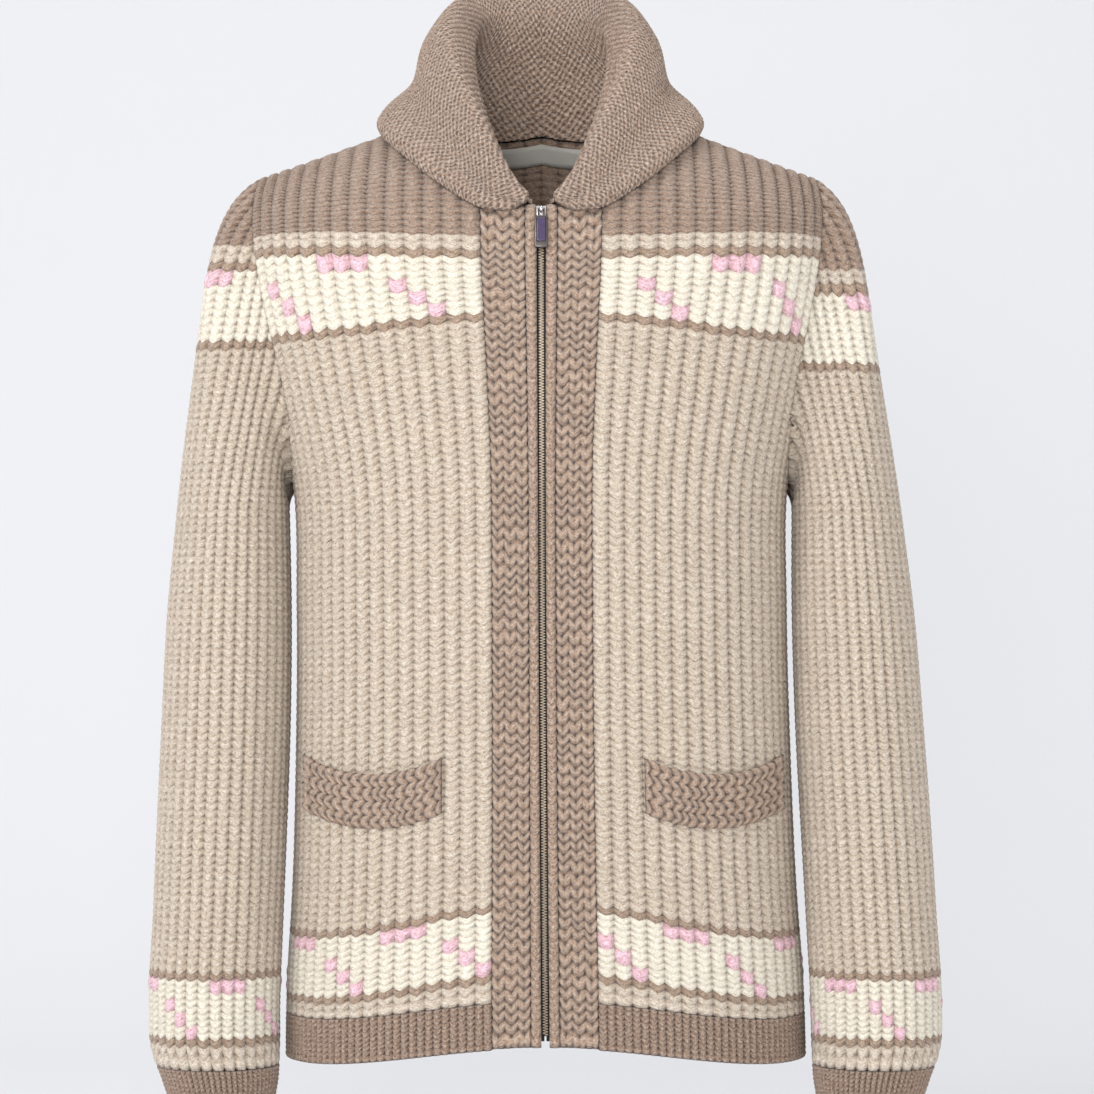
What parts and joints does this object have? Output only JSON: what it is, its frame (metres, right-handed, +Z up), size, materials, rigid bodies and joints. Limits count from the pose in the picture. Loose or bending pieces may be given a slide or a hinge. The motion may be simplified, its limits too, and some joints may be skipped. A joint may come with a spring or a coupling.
{
  "type": "cardigan",
  "caption": "Chunky knitted cardigan with a shawl collar, full-length zip, striped yoke and hem bands, ribbed cuffs and two welt pockets, filled out as on a wearer.",
  "frame": {"origin": "at the neck, level with the back neck seam and midway between the side seams", "axes": "+Z up the wearer, -Y out of the front, +X to the wearer's left"},
  "size_m": [0.5634, 0.2435, 0.8397],
  "materials": {
    "beige_knit": "chunky wool rib in beige, with brown yoke, cream bands and dark stripes",
    "moss_knit": "brown wool in moss stitch",
    "braid_knit": "brown wool in a zigzag braid stitch",
    "rib_knit": "brown wool rib",
    "lining_cloth": "plain woven pocket lining",
    "label_cloth": "bare off-white woven label",
    "zip_tape": "woven zip tape",
    "zip_metal": "small metal teeth",
    "silver_metal": "polished silver slider",
    "dark_metal": "dark gunmetal finish",
    "pull_inlay": "glossy dark purple inlay"
  },
  "bodies": {
    "cardigan": {"back": "beige_knit", "band_left": "braid_knit", "band_right": "braid_knit", "collar": "moss_knit", "cuff_left": "rib_knit", "cuff_right": "rib_knit", "front_left": "beige_knit", "front_right": "beige_knit", "hem_back": "rib_knit", "hem_front_left": "rib_knit", "hem_front_right": "rib_knit", "neck_label": "label_cloth", "pocket_bag_left": "lining_cloth", "pocket_bag_right": "lining_cloth", "pocket_welt_left": "braid_knit", "pocket_welt_right": "braid_knit", "sleeve_left": "beige_knit", "sleeve_right": "beige_knit", "zip_chain": "zip_metal", "zip_slider": "silver_metal", "zip_tape_left": "zip_tape", "zip_tape_right": "zip_tape"},
    "pull": {"zip_pull": "dark_metal", "zip_pull_stone": "pull_inlay"}
  },
  "joints": [
    {"name": "pull_hinge", "type": "hinge", "parent": "cardigan", "child": "pull", "pos_m": [-0.00004, -0.10961, -0.06151], "axis": [-1, 0, 0], "range_deg": [0, 150]}
  ]
}
